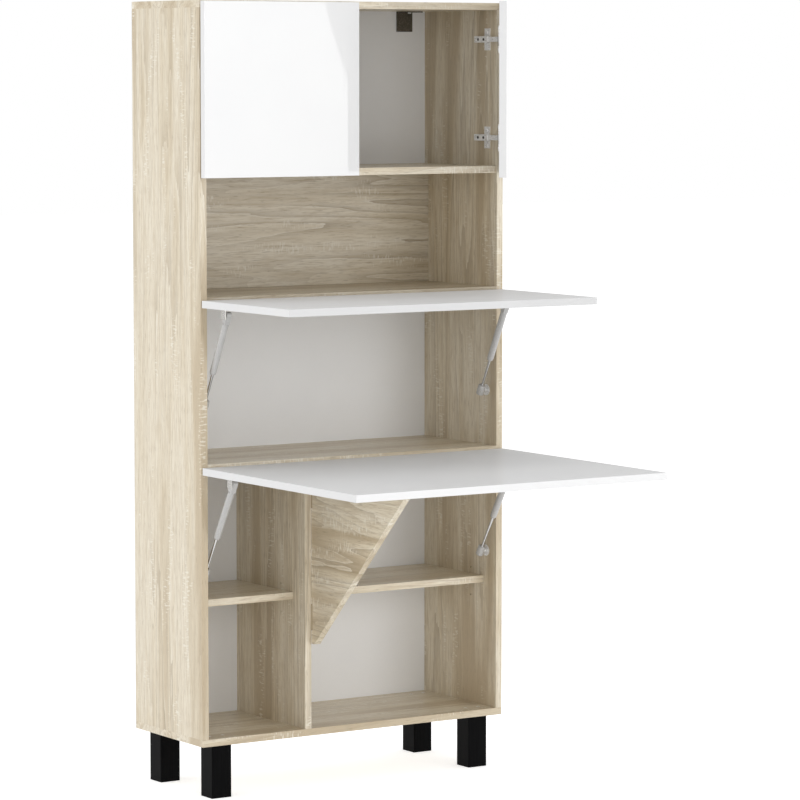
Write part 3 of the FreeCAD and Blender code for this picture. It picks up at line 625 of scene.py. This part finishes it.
# Hinge screws: each leaf's pin line, its hinges' turn, its open angle, the hinges' distance from its middle
HINGES = (
    ("left_door", (-0.391, 0.152, 1.566), 0, 0, 0.112),
    ("right_door", (0.391, 0.152, 1.566), 180, RIGHT_DOOR_OPEN, 0.112),
    ("upper_flap", (0.0, 0.152, 1.0995), 90, 90, 0.299),
    ("desk_flap", (0.0, 0.152, 0.7325), 90, 90, 0.299),
)
ARM_TOP = 0.0175
ARM_SCREWS = (0.052, 0.074)
CUP_CENTRE = 0.0125
FLANGE_TOP = 0.0097
FLANGE_SCREWS = (-0.0243, 0.0243)
adjusting_screw = cross_screw("adjusting_screw", radius=0.0032, height=0.0009)
cup_screw = cross_screw("cup_screw", radius=0.0034, height=0.0010)
for leaf, pivot, turn, open_angle, spread in HINGES:
    fixed = Matrix.Translation(pivot) @ Matrix.Rotation(math.radians(turn), 4, "Y")
    moving = fixed @ Matrix.Rotation(math.radians(-open_angle), 4, "Z")
    on_arms = [fixed @ seat((ARM_TOP, depth, shift), (1, 0, 0))
               for shift in (-spread, spread) for depth in ARM_SCREWS]
    set_out(adjusting_screw, leaf + "_arm_screws", on_arms, "carcass", "hinge_steel", SCREW_DARK)
    on_cups = [moving @ seat((CUP_CENTRE, FLANGE_TOP, shift + reach), (0, 1, 0))
               for shift in (-spread, spread) for reach in FLANGE_SCREWS]
    set_out(cup_screw, leaf + "_cup_screws", on_cups, leaf, "hinge_steel")

# Strut fittings: pin and stud of each strut, seen along X, and where its tube ends
STRUTS = (
    ("upper", (0.101, 1.078), (0.204, 0.873), 0.0854),
    ("desk", (0.077, 0.711), (0.204, 0.500), 0.1023),
)
STRUT_MIDDLE = 0.368
STRUT_INNER = 0.3619
BRACKET_SCREW_X = 0.3565
BRACKET_UNDER = 0.011
BRACKET_SCREWS = (-0.009, 0.009)
COLLAR = 0.005
collar = seal_collar("seal_collar", outer=0.0066, inner=0.0032, length=COLLAR)
pin_head = domed_rivet("pin_head", radius=0.0046, height=0.0014)
cup = socket_cup("socket_cup", radius=0.0088, low=-0.0105, high=0.0125, flat=0.0058)
bracket_screw = cross_screw("bracket_screw", radius=0.0030, height=0.0014)
for flap, pin, stud, tube_end in STRUTS:
    along = Vector((0, pin[0] - stud[0], pin[1] - stud[1])).normalized()
    heads, screws = [], []
    for side, sign in zip(("left", "right"), BOTH_SIDES):
        outward = Vector((sign, 0, 0))
        turn = Matrix((outward, along.cross(outward), along)).transposed().to_4x4()
        foot = Matrix.Translation((sign * STRUT_MIDDLE, *stud)) @ turn
        strut = "%s_%s_" % (flap, side)
        nose = foot @ Matrix.Translation((0, 0, tube_end - COLLAR))
        set_out(collar, strut + "seal_collar", [nose], strut + "cylinder", "strut_grey")
        set_out(cup, strut + "socket_cup", [foot], strut + "rod", "strut_grey")
        heads.append(seat((sign * STRUT_INNER, *pin), (-sign, 0, 0)))
        for shift in BRACKET_SCREWS:
            under = (sign * BRACKET_SCREW_X, pin[0] + shift, pin[1] + BRACKET_UNDER)
            screws.append(seat(under, (0, 0, -1)))
    set_out(pin_head, flap + "_strut_pin_heads", heads, flap + "_flap", "rod_steel")
    set_out(bracket_screw, flap + "_bracket_screws", screws, flap + "_flap", "hinge_steel")

# Flanges round the studs on the side panels, and caps over the wall brackets' holes
SIDE_INNER = 0.384
flange = notched_flange("stud_flange", outer=0.0130, inner=0.0091, thickness=0.0026, notch=0.0042)
stud_places = [seat((sign * SIDE_INNER, *stud), (-sign, 0, 0))
               for sign in BOTH_SIDES for flap, pin, stud, tube_end in STRUTS]
set_out(flange, "stud_flanges", stud_places, "carcass", "hinge_steel")
HOLE_X, HOLE_Y, HOLE_Z = 0.326, 0.4615, 1.716
hole_cap = domed_rivet("hole_cap", radius=0.0050, height=0.0012)
cap_places = [seat((sign * HOLE_X, HOLE_Y, HOLE_Z), (0, -1, 0)) for sign in BOTH_SIDES]
set_out(hole_cap, "wall_bracket_caps", cap_places, "carcass", "hinge_steel", WALL_BROWN)

# Wooden bars on the gusset's rear edge, between its butt hinges, that close the gap to the divider
BAR_LOW, BAR_HIGH = (-0.1179, 0.1603), (-0.1030, 0.1636)
BAR_LEVELS = ((0.3285, 0.3572), (0.4188, 0.6322), (0.6938, 0.7225))
bars = [edge_bar("edge_bar", (*BAR_LOW, low), (*BAR_HIGH, high)) for low, high in BAR_LEVELS]
for number, bar in enumerate(bars, start=1):
    set_out(bar, "gusset_edge_bar_%d" % number, [Matrix()], "gusset", node_slots["gusset"], OAK_GUSSET)

for pattern in (adjusting_screw, cup_screw, collar, pin_head, cup, bracket_screw, flange, hole_cap, *bars):
    bpy.data.objects.remove(pattern)

# Floor, light and camera
WHITE = (1.0, 1.0, 1.0, 1.0)
AMBIENT, BACKDROP = 0.74, 1.0
FLOOR_SIZE = 60
FLOOR_COLOUR = (0.86, 0.86, 0.86, 1.0)
FLOOR_ROUGHNESS = 0.9
FLOOR_LIGHT, FLOOR_GLOW = 0.15, 0.58


def seen_or_lighting(tree, lighting, seen):
    """One strength for light that falls on things, and another for what is seen directly or mirrored."""
    path = tree.nodes.new("ShaderNodeLightPath")
    rays = arithmetic(tree, "MAXIMUM", path.outputs["Is Camera Ray"], path.outputs["Is Glossy Ray"])
    rays = arithmetic(tree, "MAXIMUM", rays, path.outputs["Is Transmission Ray"])
    return levels(tree, rays, 0.0, 1.0, lighting, seen)


world = bpy.data.worlds.new("white_studio")
world.use_nodes = True
bpy.context.scene.world = world
sky = world.node_tree
background = sky.nodes["Background"]
background.inputs["Color"].default_value = WHITE
sky.links.new(seen_or_lighting(sky, AMBIENT, BACKDROP), background.inputs["Strength"])

clear_selection()
bpy.ops.mesh.primitive_plane_add(size=FLOOR_SIZE, location=(0, 0, 0))
floor = bpy.context.object
floor.name = "studio_floor"
floor_finish, tree, shader = new_finish("studio_floor_white")
shader.inputs["Base Color"].default_value = FLOOR_COLOUR
shader.inputs["Roughness"].default_value = FLOOR_ROUGHNESS
shader.inputs["Specular IOR Level"].default_value = 0.0
shader.inputs["Emission Color"].default_value = WHITE
tree.links.new(seen_or_lighting(tree, FLOOR_LIGHT, FLOOR_GLOW), shader.inputs["Emission Strength"])
paint(floor, floor_finish)

# Soft boxes: name, place, length of a side, brightness, roll in degrees
AIM = Vector((0.0, 0.2, 0.9))
SOFT_BOXES = (
    ("key_right", (1.77, -4.95, 1.3), 2.5, 2.75, 18),
    ("fill_front", (-2.6, -5.6, 1.1), 3.6, 1.2, 0),
    ("side_left", (-5.0, 2.0, 1.6), 4.0, 1.2, 0),
    ("top", (0.0, -0.6, 4.6), 2.0, 0.7, 0),
)


def soft_box(name, place, size, brightness, roll):
    """Square soft light, turned to the cabinet and rolled round its own axis."""
    light = bpy.data.lights.new(name, "AREA")
    light.shape = "SQUARE"
    light.size = size
    light.energy = brightness * math.pi * size * size
    lamp = bpy.data.objects.new(name, light)
    bpy.context.scene.collection.objects.link(lamp)
    lamp.location = place
    lamp.rotation_mode = "QUATERNION"
    turn = (AIM - Vector(place)).to_track_quat("-Z", "Y")
    lamp.rotation_quaternion = turn @ Quaternion((0, 0, 1), math.radians(roll))


for box in SOFT_BOXES:
    soft_box(*box)

CAMERA_PLACE = Vector((-4.510, -6.940, 1.611))
CAMERA_YAW = math.radians(33.09)
CAMERA_DOWN = math.radians(5.03)
SENSOR_WIDTH, FOCAL_LENGTH = 36.0, 169.36  # millimetres
FARTHEST_SEEN = 200.0
lens = bpy.data.cameras.new("photo_view")
lens.sensor_width = SENSOR_WIDTH
lens.lens = FOCAL_LENGTH
lens.clip_end = FARTHEST_SEEN
camera = bpy.data.objects.new("photo_view", lens)
bpy.context.scene.collection.objects.link(camera)
camera.location = CAMERA_PLACE
level_reach = math.cos(CAMERA_DOWN)
ahead = Vector((math.sin(CAMERA_YAW) * level_reach, math.cos(CAMERA_YAW) * level_reach,
                -math.sin(CAMERA_DOWN)))
camera.rotation_mode = "QUATERNION"
camera.rotation_quaternion = ahead.to_track_quat("-Z", "Y")
bpy.context.scene.camera = camera
bpy.context.scene.view_settings.view_transform = "Standard"
